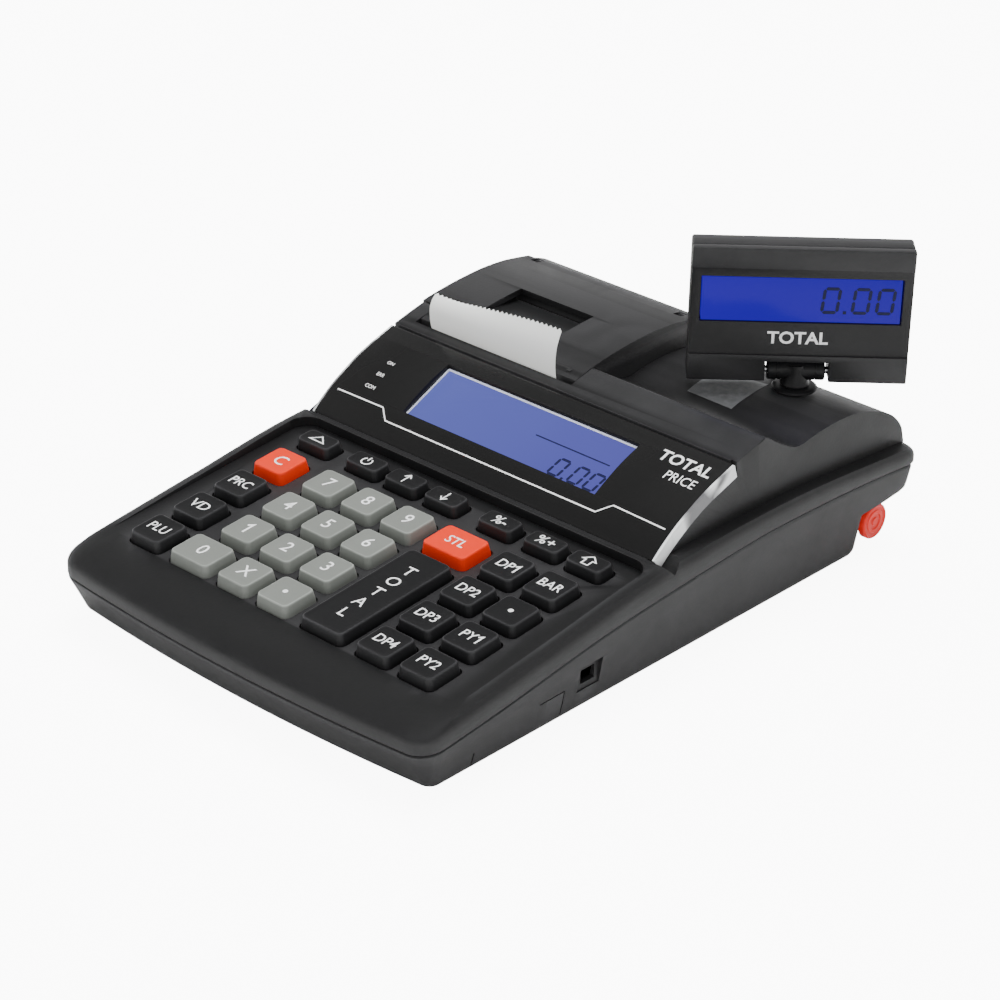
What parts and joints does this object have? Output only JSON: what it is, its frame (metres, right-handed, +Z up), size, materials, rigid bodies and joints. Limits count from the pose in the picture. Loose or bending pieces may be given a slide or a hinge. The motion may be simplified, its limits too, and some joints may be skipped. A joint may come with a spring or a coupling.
{
  "type": "cash register",
  "caption": "Compact dark cash register with sloping keyboard, arched operator display, receipt printer with hinged lid and a swivelling customer display.",
  "frame": {"origin": "middle of the footprint, on the surface it stands on", "axes": "+X to the operator's right, +Y to the rear, +Z up"},
  "size_m": [0.1644, 0.246, 0.1082],
  "materials": {
    "case_plastic": "fine textured moulded plastic",
    "dark_plastic": "satin",
    "key_black": "satin, printed legend",
    "key_grey": "satin, printed legend",
    "key_red": "satin, printed legend",
    "lens_acrylic": "clear acrylic, black behind",
    "lcd_blue": "backlit panel",
    "steel": "bright",
    "rubber": "matte",
    "thermal_paper": "smooth",
    "board_green": "solder mask",
    "seal_red": "moulded seal",
    "gear_nylon": "natural nylon",
    "battery_wrap": "shrink wrap"
  },
  "bodies": {
    "case": {"bottom_case": "case_plastic", "top_cover": "case_plastic", "display_lens": "lens_acrylic", "operator_lcd": "lcd_blue", "key_mat": "rubber", "lid_hinge_pin": "steel", "paper_motor": "steel", "print_head": "steel", "printer_frame": "steel", "receipt_paper": "thermal_paper", "tear_bar": "steel", "main_board": "board_green", "battery_pack": "battery_wrap", "rear_ports": "dark_plastic", "red_seal": "seal_red", "display_foot": "dark_plastic", "display_cable": "rubber"},
    "lid": {"printer_lid": "case_plastic"},
    "platen": {"platen_roller": "rubber", "platen_gear": "gear_nylon"},
    "drive": {"drive_gear": "gear_nylon"},
    "roll": {"paper_roll": "thermal_paper"},
    "swivel": {"display_stem": "dark_plastic"},
    "display": {"customer_display_rear": "case_plastic", "customer_display_front": "case_plastic", "customer_lcd": "lcd_blue", "display_hinge_pin": "steel"},
    "key_0": {"key_0": "key_grey"},
    "key_total": {"key_total": "key_black"},
    "key_subtotal": {"key_subtotal": "key_red"},
    "key_clear": {"key_clear": "key_red"},
    "key_plu": {"key_plu": "key_black"},
    "key_void": {"key_void": "key_black"},
    "key_price": {"key_price": "key_black"},
    "key_dept_4": {"key_dept_4": "key_black"},
    "key_dept_3": {"key_dept_3": "key_black"},
    "key_dept_2": {"key_dept_2": "key_black"},
    "key_dept_1": {"key_dept_1": "key_black"},
    "key_pay_2": {"key_pay_2": "key_black"},
    "key_pay_1": {"key_pay_1": "key_black"},
    "key_dot": {"key_dot": "key_black"},
    "key_bar": {"key_bar": "key_black"},
    "key_1": {"key_1": "key_grey"},
    "key_4": {"key_4": "key_grey"},
    "key_7": {"key_7": "key_grey"},
    "key_multiply": {"key_multiply": "key_grey"},
    "key_2": {"key_2": "key_grey"},
    "key_5": {"key_5": "key_grey"},
    "key_8": {"key_8": "key_grey"},
    "key_decimal": {"key_decimal": "key_grey"},
    "key_3": {"key_3": "key_grey"},
    "key_6": {"key_6": "key_grey"},
    "key_9": {"key_9": "key_grey"},
    "key_feed": {"key_feed": "key_black"},
    "key_power": {"key_power": "key_black"},
    "key_up": {"key_up": "key_black"},
    "key_down": {"key_down": "key_black"},
    "key_discount": {"key_discount": "key_black"},
    "key_surcharge": {"key_surcharge": "key_black"},
    "key_shift": {"key_shift": "key_black"}
  },
  "joints": [
    {"name": "key_0_press", "type": "slide", "parent": "case", "child": "key_0", "axis": [0, -0.0943, 0.9955], "range_m": [-0.002, 0], "stiffness_N_per_m": 260, "springref_m": 0.0004},
    {"name": "key_total_press", "type": "slide", "parent": "case", "child": "key_total", "axis": [0, -0.0943, 0.9955], "range_m": [-0.002, 0], "stiffness_N_per_m": 420, "springref_m": 0.0004},
    {"name": "key_subtotal_press", "type": "slide", "parent": "case", "child": "key_subtotal", "axis": [0, -0.0943, 0.9955], "range_m": [-0.002, 0], "stiffness_N_per_m": 260, "springref_m": 0.0004},
    {"name": "key_clear_press", "type": "slide", "parent": "case", "child": "key_clear", "axis": [0, -0.0943, 0.9955], "range_m": [-0.002, 0], "stiffness_N_per_m": 260, "springref_m": 0.0004},
    {"name": "key_plu_press", "type": "slide", "parent": "case", "child": "key_plu", "axis": [0, -0.0943, 0.9955], "range_m": [-0.002, 0], "stiffness_N_per_m": 260, "springref_m": 0.0004},
    {"name": "key_void_press", "type": "slide", "parent": "case", "child": "key_void", "axis": [0, -0.0943, 0.9955], "range_m": [-0.002, 0], "stiffness_N_per_m": 260, "springref_m": 0.0004},
    {"name": "key_price_press", "type": "slide", "parent": "case", "child": "key_price", "axis": [0, -0.0943, 0.9955], "range_m": [-0.002, 0], "stiffness_N_per_m": 260, "springref_m": 0.0004},
    {"name": "key_dept_4_press", "type": "slide", "parent": "case", "child": "key_dept_4", "axis": [0, -0.0943, 0.9955], "range_m": [-0.002, 0], "stiffness_N_per_m": 260, "springref_m": 0.0004},
    {"name": "key_dept_3_press", "type": "slide", "parent": "case", "child": "key_dept_3", "axis": [0, -0.0943, 0.9955], "range_m": [-0.002, 0], "stiffness_N_per_m": 260, "springref_m": 0.0004},
    {"name": "key_dept_2_press", "type": "slide", "parent": "case", "child": "key_dept_2", "axis": [0, -0.0943, 0.9955], "range_m": [-0.002, 0], "stiffness_N_per_m": 260, "springref_m": 0.0004},
    {"name": "key_dept_1_press", "type": "slide", "parent": "case", "child": "key_dept_1", "axis": [0, -0.0943, 0.9955], "range_m": [-0.002, 0], "stiffness_N_per_m": 260, "springref_m": 0.0004},
    {"name": "key_pay_2_press", "type": "slide", "parent": "case", "child": "key_pay_2", "axis": [0, -0.0943, 0.9955], "range_m": [-0.002, 0], "stiffness_N_per_m": 260, "springref_m": 0.0004},
    {"name": "key_pay_1_press", "type": "slide", "parent": "case", "child": "key_pay_1", "axis": [0, -0.0943, 0.9955], "range_m": [-0.002, 0], "stiffness_N_per_m": 260, "springref_m": 0.0004},
    {"name": "key_dot_press", "type": "slide", "parent": "case", "child": "key_dot", "axis": [0, -0.0943, 0.9955], "range_m": [-0.002, 0], "stiffness_N_per_m": 260, "springref_m": 0.0004},
    {"name": "key_bar_press", "type": "slide", "parent": "case", "child": "key_bar", "axis": [0, -0.0943, 0.9955], "range_m": [-0.002, 0], "stiffness_N_per_m": 260, "springref_m": 0.0004},
    {"name": "key_1_press", "type": "slide", "parent": "case", "child": "key_1", "axis": [0, -0.0943, 0.9955], "range_m": [-0.002, 0], "stiffness_N_per_m": 260, "springref_m": 0.0004},
    {"name": "key_4_press", "type": "slide", "parent": "case", "child": "key_4", "axis": [0, -0.0943, 0.9955], "range_m": [-0.002, 0], "stiffness_N_per_m": 260, "springref_m": 0.0004},
    {"name": "key_7_press", "type": "slide", "parent": "case", "child": "key_7", "axis": [0, -0.0943, 0.9955], "range_m": [-0.002, 0], "stiffness_N_per_m": 260, "springref_m": 0.0004},
    {"name": "key_multiply_press", "type": "slide", "parent": "case", "child": "key_multiply", "axis": [0, -0.0943, 0.9955], "range_m": [-0.002, 0], "stiffness_N_per_m": 260, "springref_m": 0.0004},
    {"name": "key_2_press", "type": "slide", "parent": "case", "child": "key_2", "axis": [0, -0.0943, 0.9955], "range_m": [-0.002, 0], "stiffness_N_per_m": 260, "springref_m": 0.0004},
    {"name": "key_5_press", "type": "slide", "parent": "case", "child": "key_5", "axis": [0, -0.0943, 0.9955], "range_m": [-0.002, 0], "stiffness_N_per_m": 260, "springref_m": 0.0004},
    {"name": "key_8_press", "type": "slide", "parent": "case", "child": "key_8", "axis": [0, -0.0943, 0.9955], "range_m": [-0.002, 0], "stiffness_N_per_m": 260, "springref_m": 0.0004},
    {"name": "key_decimal_press", "type": "slide", "parent": "case", "child": "key_decimal", "axis": [0, -0.0943, 0.9955], "range_m": [-0.002, 0], "stiffness_N_per_m": 260, "springref_m": 0.0004},
    {"name": "key_3_press", "type": "slide", "parent": "case", "child": "key_3", "axis": [0, -0.0943, 0.9955], "range_m": [-0.002, 0], "stiffness_N_per_m": 260, "springref_m": 0.0004},
    {"name": "key_6_press", "type": "slide", "parent": "case", "child": "key_6", "axis": [0, -0.0943, 0.9955], "range_m": [-0.002, 0], "stiffness_N_per_m": 260, "springref_m": 0.0004},
    {"name": "key_9_press", "type": "slide", "parent": "case", "child": "key_9", "axis": [0, -0.0943, 0.9955], "range_m": [-0.002, 0], "stiffness_N_per_m": 260, "springref_m": 0.0004},
    {"name": "key_feed_press", "type": "slide", "parent": "case", "child": "key_feed", "axis": [0, -0.0943, 0.9955], "range_m": [-0.002, 0], "stiffness_N_per_m": 260, "springref_m": 0.0004},
    {"name": "key_power_press", "type": "slide", "parent": "case", "child": "key_power", "axis": [0, -0.0943, 0.9955], "range_m": [-0.002, 0], "stiffness_N_per_m": 260, "springref_m": 0.0004},
    {"name": "key_up_press", "type": "slide", "parent": "case", "child": "key_up", "axis": [0, -0.0943, 0.9955], "range_m": [-0.002, 0], "stiffness_N_per_m": 260, "springref_m": 0.0004},
    {"name": "key_down_press", "type": "slide", "parent": "case", "child": "key_down", "axis": [0, -0.0943, 0.9955], "range_m": [-0.002, 0], "stiffness_N_per_m": 260, "springref_m": 0.0004},
    {"name": "key_discount_press", "type": "slide", "parent": "case", "child": "key_discount", "axis": [0, -0.0943, 0.9955], "range_m": [-0.002, 0], "stiffness_N_per_m": 260, "springref_m": 0.0004},
    {"name": "key_surcharge_press", "type": "slide", "parent": "case", "child": "key_surcharge", "axis": [0, -0.0943, 0.9955], "range_m": [-0.002, 0], "stiffness_N_per_m": 260, "springref_m": 0.0004},
    {"name": "key_shift_press", "type": "slide", "parent": "case", "child": "key_shift", "axis": [0, -0.0943, 0.9955], "range_m": [-0.002, 0], "stiffness_N_per_m": 260, "springref_m": 0.0004},
    {"name": "lid_hinge", "type": "hinge", "parent": "case", "child": "lid", "pos_m": [-0.0373, 0.0971, 0.062], "axis": [-1, 0, 0], "range_deg": [0, 92]},
    {"name": "roll_spin", "type": "hinge", "parent": "case", "child": "roll", "pos_m": [-0.0334, 0.0715, 0.035], "axis": [1, 0, 0], "continuous": true},
    {"name": "platen_spin", "type": "hinge", "parent": "lid", "child": "platen", "pos_m": [-0.0335, 0.0395, 0.053], "axis": [1, 0, 0], "continuous": true},
    {"name": "drive_spin", "type": "hinge", "parent": "case", "child": "drive", "pos_m": [-0.0638, 0.0381, 0.04375], "axis": [1, 0, 0], "continuous": true},
    {"name": "display_swivel", "type": "hinge", "parent": "case", "child": "swivel", "pos_m": [0.05, 0.0915, 0.0628], "axis": [0, 0, 1], "range_deg": [-60, 150]},
    {"name": "display_tilt", "type": "hinge", "parent": "swivel", "child": "display", "pos_m": [0.05, 0.0915, 0.0628], "axis": [-0.7431, -0.6691, 0], "range_deg": [-10, 35]}
  ],
  "couplings": [
    {"joint": "platen_spin", "follows": "roll_spin", "ratio": 4.32},
    {"joint": "drive_spin", "follows": "roll_spin", "ratio": -4.32}
  ]
}
